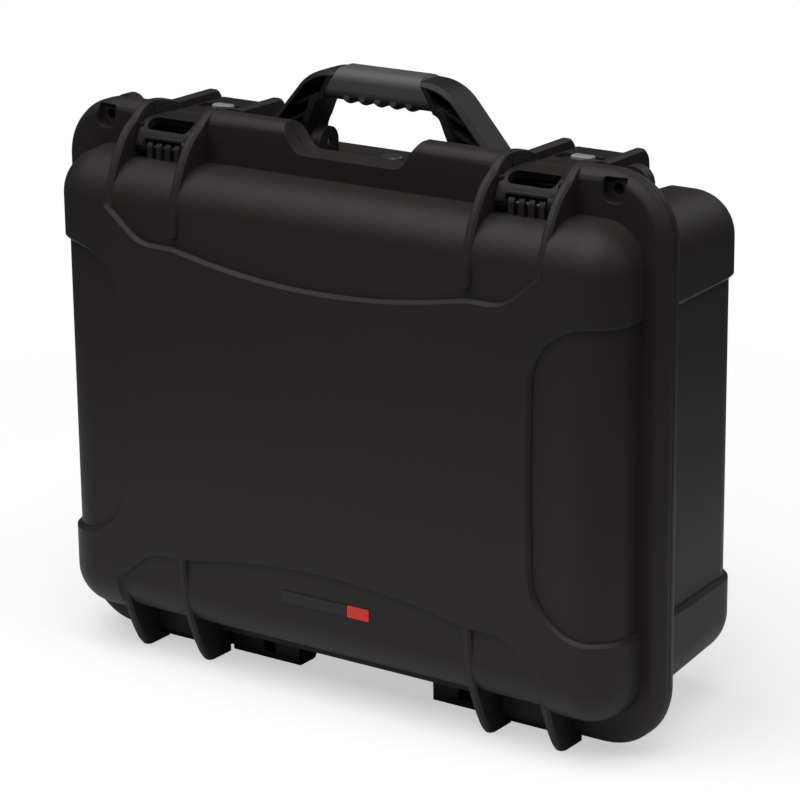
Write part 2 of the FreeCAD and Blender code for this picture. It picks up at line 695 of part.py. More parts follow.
def latch_claw():
    """Right-hand claw: round-fronted cap hinged on the lid, with a window and two rails for the lever."""
    x0 = BAY_X - CLAW_HALF
    x1 = BAY_X + CLAW_HALF
    cap = across(claw_curve(), x0, x1)
    cap = eased(cap, CLAW_EASE, lambda p: abs(abs(p.x - BAY_X) - CLAW_HALF) < 0.01
                and (p.z > LATCH_TOP - 0.01 or (p.y < -FLANGE_THICK and p.z > LATCH_TOP - CLAW_WALL - 1)))
    pieces = [cap]
    cheek = [
        (LATCH_PIVOT_Y, LATCH_PIVOT_Z, 0), (LATCH_PIVOT_Y, LATCH_TOP - CLAW_WALL / 2, 0),
        (LEVER_PIVOT_Y, LATCH_TOP - 1, 0), (LEVER_PIVOT_Y + 6, LATCH_TOP - 1, 0),
        (LEVER_PIVOT_Y + 6, CATCH_Z + 2, 4), (-FLANGE_THICK - 1, CATCH_Z + 2, 2),
    ]
    for a, b in ((x0, x0 + LEVER_RAIL), (x1 - LEVER_RAIL, x1)):
        pieces.append(across(cheek, a, b))
    for a, b in ((x0, x0 + CLAW_LEG), (x1 - CLAW_LEG, x1)):
        pieces.append(rod_x(LATCH_KNUCKLE_R, a, b, LATCH_PIVOT_Y, LATCH_PIVOT_Z))
    claw = joined(pieces)
    mouth = block(x0 + CLAW_LEG, x1 - CLAW_LEG, LATCH_PIVOT_Y - 2 * LATCH_KNUCKLE_R, LATCH_PIVOT_Y + 2 * LATCH_KNUCKLE_R,
                  LATCH_PIVOT_Z - BEYOND, LATCH_PIVOT_Z + CLAW_MOUTH)
    half = WINDOW_LENGTH / 2
    across_half = WINDOW_WIDTH / 2
    slot = upright(box_corners(-half, half, -across_half, across_half, WINDOW_ROUND), 0, 2 * BEYOND)
    slot.rotate(Vector(0, 0, 0), Vector(1, 0, 0), 90 - WINDOW_TILT)
    slot.translate(Vector(BAY_X, LATCH_PIVOT_Y - LATCH_KNUCKLE_R + LATCH_TOP - LATCH_PIVOT_Z, LATCH_PIVOT_Z))
    pin = rod_x(LATCH_PIN_R + FIT, x0 - 1, x1 + 1, LATCH_PIVOT_Y, LATCH_PIVOT_Z)
    lever_pin = rod_x(LEVER_PIN_R + FIT, x0 - 1, x1 + 1, LEVER_PIVOT_Y, LEVER_PIVOT_Z)
    return claw.cut([mouth, slot, pin, lever_pin])


def latch_pin():
    """Right-hand steel pin through the lid teeth and the claw's legs."""
    return rod_x(LATCH_PIN_R, BAY_X - CLAW_HALF, BAY_X + CLAW_HALF, LATCH_PIVOT_Y, LATCH_PIVOT_Z)


def lever_pin():
    """Right-hand steel pin through the claw's rails and the lever."""
    return rod_x(LEVER_PIN_R, BAY_X - CLAW_HALF, BAY_X + CLAW_HALF, LEVER_PIVOT_Y, LEVER_PIVOT_Z)


def latch_lever():
    """Right-hand lever: flat panel with a barrel at its front and the hook that holds the base flange."""
    x0 = BAY_X - LEVER_HALF
    x1 = BAY_X + LEVER_HALF
    high = LATCH_TOP - LEVER_FLUSH
    panel = across([
        (LEVER_PIVOT_Y, high, 0), (LEVER_END, high, 2), (LEVER_END, high - LEVER_THICK, 2),
        (LEVER_PIVOT_Y, high - LEVER_THICK, 0),
    ], x0, x1)
    barrel = rod_x(LEVER_BARREL_R, x0, x1, LEVER_PIVOT_Y, LEVER_PIVOT_Z)
    hook_y = FLANGE_THICK + HOOK_GAP
    hook = across([
        (hook_y, CATCH_Z - HOOK_BITE, 0), (hook_y + HOOK_THICK, CATCH_Z - HOOK_BITE, 1),
        (LEVER_PIVOT_Y, LEVER_PIVOT_Z - LEVER_BARREL_R + 2, 0), (LEVER_PIVOT_Y, LEVER_PIVOT_Z, 0),
        (hook_y, CATCH_Z + 1, 0),
    ], x0 + 4, x1 - 4)
    lever = joined([panel, barrel, hook])
    long, wide, deep = LOCK_POCKET
    pocket = box_corners(BAY_X - long / 2, BAY_X + long / 2, LOCK_Y - wide / 2, LOCK_Y + wide / 2, 4)
    stem_half = LOCK_STEM[0] / 2 + LOCK_CLEAR
    stem_wide = LOCK_STEM[1] + 2 * LOCK_CLEAR
    slot = block(BAY_X - stem_half, BAY_X + stem_half + LOCK_TRAVEL, LOCK_Y - stem_wide / 2, LOCK_Y + stem_wide / 2,
                 high - 2 * LEVER_THICK, high + 1)
    bore = rod_x(LEVER_PIN_R + FIT, x0 - 1, x1 + 1, LEVER_PIVOT_Y, LEVER_PIVOT_Z)
    return lever.cut([upright(pocket, high - deep, high + 1), slot, bore])


def slide_lock():
    """Right-hand slide: a button in the lever's pocket, a stem through it and a bolt towards the outer fin."""
    long, wide, tall = LOCK_BUTTON
    high = LATCH_TOP - LEVER_FLUSH
    seat = high - LOCK_POCKET[2] + LOCK_CLEAR
    button = upright(box_corners(BAY_X - long / 2, BAY_X + long / 2, LOCK_Y - wide / 2, LOCK_Y + wide / 2, 3.4),
                     seat, seat + tall)
    button = eased(button, LOCK_EASE, lambda p: abs(p.z - seat - tall) < 0.01)
    under = high - LEVER_THICK - LOCK_CLEAR
    stem = block(BAY_X - LOCK_STEM[0] / 2, BAY_X + LOCK_STEM[0] / 2, LOCK_Y - LOCK_STEM[1] / 2,
                 LOCK_Y + LOCK_STEM[1] / 2, under - LOCK_PLATE, seat + 1)
    plate = block(BAY_X - long / 2, BAY_X + long / 2, LOCK_Y - wide / 2, LOCK_Y + wide / 2, under - LOCK_PLATE, under)
    bolt = block(BAY_X, BAY_X + LEVER_HALF, LOCK_Y - LOCK_STEM[1] / 2, LOCK_Y + LOCK_STEM[1] / 2,
                 under - LOCK_PLATE, under)
    return joined([button, stem, plate, bolt])


# Handle

def handle_side(depth):
    """Side outline of the handle: round pivot end, full depth above."""
    half = depth / 2
    low = HANDLE_PIVOT_Z
    return [
        (HANDLE_Y - HANDLE_BOSS_R, low - HANDLE_BOSS_R, HANDLE_BOSS_R - 0.2),
        (HANDLE_Y + HANDLE_BOSS_R, low - HANDLE_BOSS_R, HANDLE_BOSS_R - 0.2),
        (HANDLE_Y + HANDLE_BOSS_R, low + 6, 8), (HANDLE_Y + half, low + 17, 8),
        (HANDLE_Y + half, HANDLE_TOP + 1, 0), (HANDLE_Y - half, HANDLE_TOP + 1, 0),
        (HANDLE_Y - half, low + 17, 8), (HANDLE_Y - HANDLE_BOSS_R, low + 6, 8),
    ]


def handle_arch():
    """Front outline of the handle's bow: upright feet, slanted legs, rounded shoulders and a crowned top."""
    foot = HANDLE_FOOT_HALF
    low = HANDLE_PIVOT_Z - HANDLE_BOSS_R
    knee = HANDLE_PIVOT_Z + HANDLE_KNEE
    edge = foot - HANDLE_SHOULDER
    high = HANDLE_TOP - HANDLE_CROWN
    return [
        (-foot, low, 0), (-foot, knee, 12), (-edge, high, 38), (0, HANDLE_TOP, 300), (edge, high, 38),
        (foot, knee, 12), (foot, low, 0),
    ]


def handle_window():
    """Front outline of the hand gap under the grip."""
    low = HANDLE_PIVOT_Z - HANDLE_BOSS_R - 1
    return [
        (HANDLE_GAP_HALF, low, 0), (HANDLE_GAP_HALF, HANDLE_PIVOT_Z + 12, 20), (GRIP_HALF_LOW + 4, HANDLE_UNDER, 8),
        (-GRIP_HALF_LOW - 4, HANDLE_UNDER, 8), (-HANDLE_GAP_HALF, HANDLE_PIVOT_Z + 12, 20), (-HANDLE_GAP_HALF, low, 0),
    ]


def grip_span(inset):
    """Front outline of the length that the grip covers, from its slanted end to the other."""
    low = HANDLE_UNDER - 2 * GRIP_PAD_R
    slope = (GRIP_HALF_LOW - GRIP_HALF_HIGH) / (HANDLE_TOP - HANDLE_UNDER)
    wide = GRIP_HALF_LOW + slope * (HANDLE_UNDER - low) - inset
    narrow = GRIP_HALF_HIGH - slope * BEYOND - inset
    return [(-wide, low, 0), (wide, low, 0), (narrow, HANDLE_TOP + BEYOND, 0), (-narrow, HANDLE_TOP + BEYOND, 0)]


def handle_body():
    """Whole bow before the grip and the pockets are taken out of it."""
    y0 = HANDLE_Y - HANDLE_DEPTH / 2
    y1 = HANDLE_Y + HANDLE_DEPTH / 2
    low = HANDLE_PIVOT_Z - HANDLE_BOSS_R
    bow = eased(through(handle_arch(), y0, y1), HANDLE_EASE,
                lambda p: abs(abs(p.y - HANDLE_Y) - HANDLE_DEPTH / 2) < 0.01 and p.z > low + 0.01)
    bow = bow.cut(through(handle_window(), y0 - 1, y1 + 1))
    return bow.common(across(handle_side(HANDLE_DEPTH), -HALF_WIDTH, HALF_WIDTH))


def handle_core():
    """Bar that runs through the grip from leg to leg."""
    low = HANDLE_UNDER + GRIP_SHELL
    high = HANDLE_TOP - GRIP_SHELL
    half = HANDLE_DEPTH / 2 - GRIP_SHELL
    return block(-GRIP_HALF_LOW - 6, GRIP_HALF_LOW + 6, HANDLE_Y - half, HANDLE_Y + half, low, high)


def leg_pocket():
    """Cutters that hollow the right leg from the front and leave cross ribs."""
    y0 = HANDLE_Y - HANDLE_DEPTH / 2 - 1
    y1 = HANDLE_Y + HANDLE_DEPTH / 2 - HANDLE_BACK_WALL
    inside = outline(handle_arch(), front(y0)).makeOffset2D(-HANDLE_WALL)
    area = slab(inside, Vector(0, y1 - y0, 0))
    keep = handle_window()
    grown = [(u + math.copysign(HANDLE_WALL, u), w + (HANDLE_WALL if w > HANDLE_PIVOT_Z else 0), r) for u, w, r in keep]
    area = area.cut(through(grown, y0 - 1, y1 + 1))
    area = area.cut(through(grip_span(-HANDLE_WALL), y0 - 1, y1 + 1))
    low = HANDLE_PIVOT_Z + HANDLE_BOSS_R + 2
    area = area.common(block(0, HALF_WIDTH, y0, y1, low, HANDLE_TOP))
    pitch = (HANDLE_TOP - HANDLE_WALL - low) / (HANDLE_RIBS + 1)
    ribs = []
    for i in range(HANDLE_RIBS):
        z = low + pitch * (i + 0.8)
        rib = block(0, HALF_WIDTH, y0 + 5, y1 + 1, z, z + HANDLE_RIB)
        rib.rotate(Vector(HANDLE_GAP_HALF, 0, z), Vector(0, 1, 0), 25)
        ribs.append(rib)
    return area.cut(ribs)


def handle_frame():
    """Moulded bow: two hollow ribbed legs and the bar inside the grip."""
    bow = handle_body()
    y0 = HANDLE_Y - HANDLE_DEPTH
    y1 = HANDLE_Y + HANDLE_DEPTH
    legs = bow.cut(through(grip_span(0), y0, y1))
    frame = joined([legs, handle_core()])
    bore = rod_x(HANDLE_PIN_R + FIT, HANDLE_GAP_HALF - 1, HANDLE_FOOT_HALF + 1, HANDLE_Y, HANDLE_PIVOT_Z)
    return frame.cut(pair(leg_pocket()) + pair(bore))


def handle_grip():
    """Soft sleeve moulded over the bar, with finger pads along its underside."""
    low = HANDLE_UNDER
    high = HANDLE_TOP
    half = HANDLE_DEPTH / 2
    section = box_corners(HANDLE_Y - half, HANDLE_Y + half, low, high, GRIP_ROUND)
    sleeve = across(section, -GRIP_HALF_LOW - 5, GRIP_HALF_LOW + 5)
    pads = []
    first = -GRIP_PAD_PITCH * (GRIP_PADS - 1) / 2
    for i in range(GRIP_PADS):
        x = first + i * GRIP_PAD_PITCH
        pads.append(rod_y(GRIP_PAD_R, HANDLE_Y - half + GRIP_ROUND * 0.6, HANDLE_Y + half - GRIP_ROUND * 0.6, x,
                          low + GRIP_PAD_R - GRIP_PAD_PROUD))
    sleeve = joined([sleeve] + pads)
    sleeve = sleeve.common(through(grip_span(0), HANDLE_Y - HANDLE_DEPTH, HANDLE_Y + HANDLE_DEPTH))
    return sleeve.cut(handle_core())


def handle_pin():
    """Right-hand steel pin through both ears and the leg."""
    return rod_x(HANDLE_PIN_R, HANDLE_GAP_HALF - EAR_CLEAR - EAR_THICK + 1,
                 HANDLE_FOOT_HALF + EAR_CLEAR + EAR_THICK - 2, HANDLE_Y, HANDLE_PIVOT_Z)


# Pressure valve in the base's top wall

def valve_seat():
    """Height of the flat that is faced into the drafted top wall under the valve's seal."""
    fall = math.tan(math.radians(DRAFT)) * (VALVE_Y + VALVE_CAP_R + 1)
    return BODY_TOP - RECESS - fall - 0.3


def valve_body():
    """Vent cap with a threaded stem."""
    seat = valve_seat() + VALVE_SEAL
    cap = eased(rod_z(VALVE_CAP_R, seat, seat + VALVE_CAP, VALVE_X, VALVE_Y), VALVE_EASE,
                lambda p: abs(p.z - seat - VALVE_CAP) < 0.01)
    stem = rod_z(VALVE_STEM_R, inner_wall_at_valve() - VALVE_NUT - 1, seat, VALVE_X, VALVE_Y)
    return joined([cap, stem])


def valve_seal():
    """Flat ring under the valve's cap."""
    ring = rod_z(VALVE_CAP_R - 0.5, valve_seat(), valve_seat() + VALVE_SEAL, VALVE_X, VALVE_Y)
    return ring.cut(rod_z(VALVE_STEM_R + FIT, valve_seat() - 1, valve_seat() + VALVE_SEAL + 1, VALVE_X, VALVE_Y))


def valve_nut():
    """Six-sided nut on the stem, inside the base."""
    high = inner_wall_at_valve()
    corners = []
    for i in range(6):
        angle = math.radians(60 * i)
        corners.append((VALVE_X + VALVE_NUT_R * math.cos(angle), VALVE_Y + VALVE_NUT_R * math.sin(angle), 0))
    nut = upright(corners, high - VALVE_NUT, high)
    return nut.cut(rod_z(VALVE_STEM_R + FIT, high - VALVE_NUT - 1, high + 1, VALVE_X, VALVE_Y))


def inner_wall_at_valve():
    """Lowest height of the base's inner wall over the nut."""
    fall = math.tan(math.radians(DRAFT)) * (VALVE_Y + VALVE_NUT_R)
    return BODY_TOP - RECESS - WALL - fall


# Write every piece in the shared frame

def save(name, shape):
    """Moves a piece to the shared origin and writes its file."""
    shape = shape.copy()
    shape.translate(Vector(0, ORIGIN_Y, 0))
    shape.exportStep(os.path.join("parts", name + ".step"))
    solids = len(shape.Solids)
    print(name, "solids", solids, "volume", round(shape.Volume), "valid", shape.isValid())


os.makedirs("parts", exist_ok=True)
save("base_shell", base_shell())
save("lid_shell", lid_shell())
save("lid_seal", lid_seal())
save("handle_frame", handle_frame())
save("handle_grip", handle_grip())
save("valve_body", valve_body())
save("valve_seal", valve_seal())
save("valve_nut", valve_nut())
sided = [
    ("hinge_pin", hinge_pin()), ("handle_pin", handle_pin()), ("latch_claw", latch_claw()),
    ("latch_pin", latch_pin()), ("latch_lever", latch_lever()), ("lever_pin", lever_pin()),
    ("slide_lock", slide_lock()),
]
for name, right in sided:
    save(name + "_right", right)
    save(name + "_left", mirrored(right))
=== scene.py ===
import json
import math

import bmesh
import bpy
from mathutils import Matrix, Vector


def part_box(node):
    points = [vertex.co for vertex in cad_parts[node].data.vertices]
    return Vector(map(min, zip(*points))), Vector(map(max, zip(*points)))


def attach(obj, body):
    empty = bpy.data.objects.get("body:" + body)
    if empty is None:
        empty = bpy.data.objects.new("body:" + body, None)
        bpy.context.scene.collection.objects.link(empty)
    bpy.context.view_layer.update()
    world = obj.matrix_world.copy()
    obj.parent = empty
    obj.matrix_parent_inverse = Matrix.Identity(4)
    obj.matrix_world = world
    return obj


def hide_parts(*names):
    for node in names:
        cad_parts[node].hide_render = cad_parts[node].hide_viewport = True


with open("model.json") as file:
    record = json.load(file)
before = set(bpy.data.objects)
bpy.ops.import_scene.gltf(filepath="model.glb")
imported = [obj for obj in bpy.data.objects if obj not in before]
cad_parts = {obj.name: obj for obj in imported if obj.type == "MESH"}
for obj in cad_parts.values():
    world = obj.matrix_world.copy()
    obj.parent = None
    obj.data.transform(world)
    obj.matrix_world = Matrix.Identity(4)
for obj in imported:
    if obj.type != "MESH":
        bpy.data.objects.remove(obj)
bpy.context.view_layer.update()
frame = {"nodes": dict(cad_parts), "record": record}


# Moulded halves
# The deep back half and the shallow front half are injection moulded in a tough dark plastic.
# The mould is spark eroded, so the skin has a fine satin grain with slightly smoother edges. A painted
# highlight lightens the colour along every edge and crease.

SATIN_BLACK = ((0.0096, 0.0081, 0.0076, 1), (0.0119, 0.0101, 0.0095, 1))
CLOUD_SIZE = 0.06
CLOUD_DETAIL = 3.0
CLOUD_SHARE = 0.6
CLOUD_ROUGH = 0.1
GRAIN_DETAIL = 2.0
GRAIN_ROUGH = 0.08
GRAIN_STRENGTH = 0.5
# Painted highlight along edges and creases: its strength, how much lighter its colour is, and how much
# smoother the edges are made.
EDGE_HIGHLIGHT_GAIN = 2.5
EDGE_HIGHLIGHT_LIGHTER = 1.6
EDGE_SMOOTHER = 0.12
EDGE_SAMPLES = 4
MERGE_DISTANCE = 2e-6
FLAT_ANGLE = math.radians(0.4)
CRISP_ANGLE = math.radians(38)


class Shade:
    """A node socket that takes part in plain arithmetic."""

    def __init__(self, tree, socket=None):
        self.tree = tree
        self.socket = socket

    def node(self, kind, settings=None, sockets=None, out=0):
        """Adds a node: its settings first, then the values or links of its sockets."""
        made = self.tree.nodes.new(kind)
        for name, value in (settings or {}).items():
            setattr(made, name, value)
        for name, value in (sockets or {}).items():
            if isinstance(value, Shade):
                self.tree.links.new(value.socket, made.inputs[name])
            else:
                made.inputs[name].default_value = value
        return Shade(self.tree, made.outputs[out])

    def beside(self, out):
        """Another output of the same node."""
        return Shade(self.tree, self.socket.node.outputs[out])

    def maths(self, operation, first, second):
        return self.node("ShaderNodeMath", {"operation": operation}, {0: first, 1: second})

    def __add__(self, other):
        return self.maths("ADD", self, other)

    def __sub__(self, other):
        return self.maths("SUBTRACT", self, other)

    def __rsub__(self, other):
        return self.maths("SUBTRACT", other, self)

    def __mul__(self, other):
        return self.maths("MULTIPLY", self, other)

    def __rtruediv__(self, other):
        return self.maths("DIVIDE", other, self)

    __radd__ = __add__
    __rmul__ = __mul__

    def noise(self, size, detail):
        """Noise from 0 to 1 with features of a size in metres, fixed to the piece."""
        place = self.node("ShaderNodeTexCoord", out="Object")
        return self.node("ShaderNodeTexNoise", {}, {"Vector": place, "Scale": 1 / size, "Detail": detail})

    def between(self, mask, dark, light):
        """Colour that runs from dark to light with a mask."""
        return self.node("ShaderNodeMix", {"data_type": "RGBA"}, {0: mask, 6: dark, 7: light}, out=2)


def finish_material(name, colours, roughness, grain, depth, edge, specular=0.5, metallic=0.0):
    """Satin material: cloudy colour and roughness, fine grain, softened edges that are a little smoother, and
    a painted highlight that lightens the colour along edges and creases.
    """
    material = bpy.data.materials.new(name)
    material.use_nodes = True
    tree = material.node_tree
    shader = tree.nodes["Principled BSDF"]
    shade = Shade(tree)
    clouds = shade.noise(CLOUD_SIZE, CLOUD_DETAIL)
    speck = shade.noise(grain, GRAIN_DETAIL)
    soft = shade.node("ShaderNodeBevel", {"samples": EDGE_SAMPLES}, {"Radius": edge})
    plain = shade.node("ShaderNodeNewGeometry", out="Normal")
    alike = shade.node("ShaderNodeVectorMath", {"operation": "DOT_PRODUCT"}, {0: soft, 1: plain}, out="Value")
    # Painted highlight: where the rounded normal turns away from the true face, along edges and creases, the
    # colour is lightened with a cloudy strength and the roughness lowered.
    painted_edge_highlight = shade.node("ShaderNodeMath", {"operation": "MULTIPLY", "use_clamp": True},
                      {0: 1 - alike, 1: EDGE_HIGHLIGHT_GAIN * clouds})
    bump = shade.node("ShaderNodeBump", {},
                      {"Strength": GRAIN_STRENGTH, "Distance": depth, "Height": speck, "Normal": soft})
    colour = shade.between(clouds * CLOUD_SHARE + speck * (1 - CLOUD_SHARE), colours[0], colours[1])
    edge_highlight_colour = [min(1.0, part * EDGE_HIGHLIGHT_LIGHTER) for part in colours[1][:3]] + [1]
    colour = shade.between(painted_edge_highlight, colour, edge_highlight_colour)
    rough = roughness + (clouds - 0.5) * CLOUD_ROUGH + (speck - 0.5) * GRAIN_ROUGH - painted_edge_highlight * EDGE_SMOOTHER
    tree.links.new(colour.socket, shader.inputs["Base Color"])
    tree.links.new(rough.socket, shader.inputs["Roughness"])
    tree.links.new(bump.socket, shader.inputs["Normal"])
    shader.inputs["Metallic"].default_value = metallic
    shader.inputs["Specular IOR Level"].default_value = specular
    return material


def moulded_copy(node, body, material):
    """Merged copy of a CAD piece with smooth rounds and crisp corners, which stands for it."""
    shape = bmesh.new()
    shape.from_mesh(frame["nodes"][node].data)
    bmesh.ops.remove_doubles(shape, verts=shape.verts, dist=MERGE_DISTANCE)
    bmesh.ops.dissolve_limit(shape, angle_limit=FLAT_ANGLE, verts=shape.verts, edges=shape.edges)
    shape.normal_update()
    corners = [corner for face in shape.faces for corner in face.loops]
    share = {corner: corner.face.calc_area() * corner.calc_angle() for corner in corners}
    limit = math.cos(CRISP_ANGLE)
    normals = []
    for corner in corners:
        facing = corner.face.normal
        alike = [near for near in corner.vert.link_loops if near.face.normal.dot(facing) > limit]
        blend = sum((near.face.normal * share[near] for near in alike), Vector())
        normals.append(blend.normalized() if blend.length > 0 else corner.vert.normal.copy())
    mesh = bpy.data.meshes.new(node + "_skin")
    shape.to_mesh(mesh)
    shape.free()
    mesh.shade_smooth()
    mesh.normals_split_custom_set(normals)
    mesh.materials.clear()
    mesh.materials.append(material)
    piece = bpy.data.objects.new(node + "_skin", mesh)
    bpy.context.collection.objects.link(piece)
    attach(piece, body)
    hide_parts(node)
    return piece


moulded = finish_material("satin_black_plastic", SATIN_BLACK, roughness=0.56, grain=0.0007, depth=0.00008,
                          edge=0.0008, specular=0.16)
moulded_copy("base_shell", "base", moulded)
moulded_copy("lid_shell", "lid", moulded)


# Fin crowns
# The fins run on over the two flanges, so that the closed case has one unbroken rail on each side of a latch.
# Each crown is part of its moulding, rounded along its edges, and stops at the parting line.

FIN_FROM_CLAW = 0.004
CROWN_HALF = 0.00345
CROWN_EASE = 0.0015
CROWN_DEPTH = 0.007
CROWN_RISE = 0.0009
CROWN_GAP = 0.0008
CROWN_STEPS = 12
LID_CROWN_REACH = 0.018
LID_CROWN_DROP = 0.0098
BASE_CROWN_REACH = 0.026
BASE_CROWN_DROP = 0.0054
CORNER_POINTS = 5
CORNER_STEP = 90 / (CORNER_POINTS - 1)
SHARP_ANGLE = math.radians(40)
joint_places = {joint["name"]: joint.get("pos_m") for joint in frame["record"]["behaviour"]["joints"]}


def loft(rings):
    """Closed mesh through rings of points that all have the same count."""
    shape = bmesh.new()
    loops = [[shape.verts.new(point) for point in ring] for ring in rings]
    for near, far in zip(loops, loops[1:]):
        for i in range(len(near)):
            shape.faces.new((near[i - 1], near[i], far[i], far[i - 1]))
    shape.faces.new(loops[0])
    shape.faces.new(loops[-1])
    bmesh.ops.recalc_face_normals(shape, faces=shape.faces)
    return shape


def add_piece(name, shape, material, body, smooth=True):
    """Turns a closed shape into a piece, smooth up to its sharp corners, and lets it ride on a body."""
    mesh = bpy.data.meshes.new(name)
    shape.to_mesh(mesh)
    shape.free()
    if smooth:
        mesh.shade_smooth()
        mesh.set_sharp_from_angle(angle=SHARP_ANGLE)
    mesh.materials.append(material)
    piece = bpy.data.objects.new(name, mesh)
    bpy.context.collection.objects.link(piece)
    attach(piece, body)


def fin_crown(name, body, x, towards, reach, drop):
    """Rounded rail from the parting line, falling onto the fin of its half."""
    parting = joint_places["lid_hinge"][1]
    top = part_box("lid_shell")[1][2] + CROWN_RISE
    rings = []
    for step in range(CROWN_STEPS + 1):
        share = step / CROWN_STEPS
        y = parting + towards * (CROWN_GAP + reach * share)
        z = top - drop * share ** 2
        ring = [(x - CROWN_HALF, y, z - CROWN_DEPTH)]
        for side in (-1, 1):
            for turn in range(CORNER_POINTS):
                angle = math.radians(CORNER_STEP * turn if side > 0 else 90 - CORNER_STEP * turn)
                out = CROWN_HALF - CROWN_EASE + CROWN_EASE * math.sin(angle)
                ring.append((x + side * out, y, z - CROWN_EASE + CROWN_EASE * math.cos(angle)))
        ring.append((x + CROWN_HALF, y, z - CROWN_DEPTH))
        rings.append(ring)
    add_piece(name, loft(rings), moulded, body)


for side in ("left", "right"):
    claw_low, claw_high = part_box("latch_claw_" + side)
    for place, x in (("low", claw_low[0] - FIN_FROM_CLAW), ("high", claw_high[0] + FIN_FROM_CLAW)):
        fin_crown("lid_crown_%s_%s" % (side, place), "lid", x, -1, LID_CROWN_REACH, LID_CROWN_DROP)
        fin_crown("base_crown_%s_%s" % (side, place), "base", x, 1, BASE_CROWN_REACH, BASE_CROWN_DROP)


# Bare plate
# A thin plain plate is bonded to the sunken band at the foot of the lid, with a plain red end tile beside it.
# Both are moulded with softened edges, and stand under a millimetre proud.

PLATE_DARK = ((0.0092, 0.0086, 0.0092, 1), (0.0112, 0.0106, 0.0112, 1))
TILE_RED = ((0.40, 0.021, 0.013, 1), (0.46, 0.027, 0.017, 1))
PLATE_SPAN = (-0.0352, 0.0216)
TILE_SPAN = (0.0219, 0.0405)
PLATE_HEIGHTS = (0.0719, 0.0807)
PLATE_CORNER = 0.0009
PLATE_SEAT = 0.0035
PLATE_SUNK = 0.0005
PLATE_PROUD = 0.0007
PLATE_EDGE = 0.00035
PLATE_MID_EDGE = PLATE_EDGE * 0.3


def plain_plate(name, span, colours):
    """Rounded plate on the lid's sunken band, built from rings round its outline."""
    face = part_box("lid_shell")[0][1] + PLATE_SEAT
    front = face - PLATE_PROUD
    middle = ((span[0] + span[1]) / 2, (PLATE_HEIGHTS[0] + PLATE_HEIGHTS[1]) / 2)
    half = ((span[1] - span[0]) / 2, (PLATE_HEIGHTS[1] - PLATE_HEIGHTS[0]) / 2)
    layers = (
        (0, face + PLATE_SUNK),
        (0, front + PLATE_EDGE),
        (PLATE_MID_EDGE, front + PLATE_MID_EDGE),
        (PLATE_EDGE, front),
    )
    rings = []
    for inset, y in layers:
        ring = []
        for turn, (along, up) in enumerate(((1, 1), (-1, 1), (-1, -1), (1, -1))):
            for step in range(CORNER_POINTS):
                angle = math.radians(90 * turn + CORNER_STEP * step)
                x = middle[0] + along * (half[0] - PLATE_CORNER) + math.cos(angle) * (PLATE_CORNER - inset)
                z = middle[1] + up * (half[1] - PLATE_CORNER) + math.sin(angle) * (PLATE_CORNER - inset)
                ring.append((x, y, z))
        rings.append(ring)
    finish = finish_material(name + "_finish", colours, roughness=0.42, grain=0.0005, depth=0.00004,
                             edge=0.0002, specular=0.17)
    add_piece(name, loft(rings), finish, "lid", smooth=False)


plain_plate("bare_plate", PLATE_SPAN, PLATE_DARK)
plain_plate("red_tile", TILE_SPAN, TILE_RED)


# Seals
# A soft foamed ring lies in the lid's groove and is pressed by the base's tongue, and a small one lies
# under the vent valve. Both are a dull dark rubber.

SEAL_DARK = ((0.012, 0.012, 0.012, 1), (0.02, 0.02, 0.02, 1))
seal_rubber = finish_material("seal_rubber", SEAL_DARK, roughness=0.8, grain=0.0005, depth=0.0001,
                              edge=0.0003)
moulded_copy("lid_seal", "lid", seal_rubber)
moulded_copy("valve_seal", "base", seal_rubber)


# Steel pins
# Turned and ground steel pins hold the hinges, the claws, the levers and the handle.
# They are pressed into the moulded knuckles.

STEEL = ((0.42, 0.42, 0.41, 1), (0.5, 0.5, 0.49, 1))
steel = finish_material("ground_steel", STEEL, roughness=0.32, grain=0.0003, depth=0.00003, edge=0.0002,
                        metallic=1.0)
for side in ("left", "right"):
    moulded_copy("hinge_pin_" + side, "base", steel)
    moulded_copy("handle_pin_" + side, "base", steel)
    moulded_copy("latch_pin_" + side, "lid", steel)
    moulded_copy("lever_pin_" + side, "latch_" + side, steel)


# Latches
# Each claw swings on the lid, its lever hooks behind the base's flange, and a slide locks the lever.
# Claw and lever are moulded in the same dark plastic, a little smoother, and the slide is pale grey.
# The claw's rounded front ends in a lip that is notched over the lid's teeth.

LATCH_BLACK = ((0.0068, 0.0056, 0.0051, 1), (0.0088, 0.0074, 0.0068, 1))
SLIDE_GREY = ((0.108, 0.112, 0.108, 1), (0.132, 0.137, 0.132, 1))
BUTTON_HEIGHT = 0.0057
BUTTON_SLIM = (0.68, 0.80, 0.74)
NOSE_HALF = 0.0235
NOSE_NOTCH = 0.0163
NOSE_NOTCH_SLANT = 0.001
NOSE_PROUD = 0.0010
NOSE_THICK = 0.0010
NOSE_TOP = 15
NOSE_LOW = 80
NOSE_NOTCH_LOW = 33
NOSE_STEPS = 10
CAP_RADIUS = 0.0175
CAP_BEHIND = 0.0125
latch_plastic = finish_material("latch_plastic", LATCH_BLACK, roughness=0.5, grain=0.0006, depth=0.00008,
                                edge=0.0006, specular=0.14)
slide_plastic = finish_material("slide_plastic", SLIDE_GREY, roughness=0.5, grain=0.0006, depth=0.00006,
                                edge=0.0006, specular=0.3)


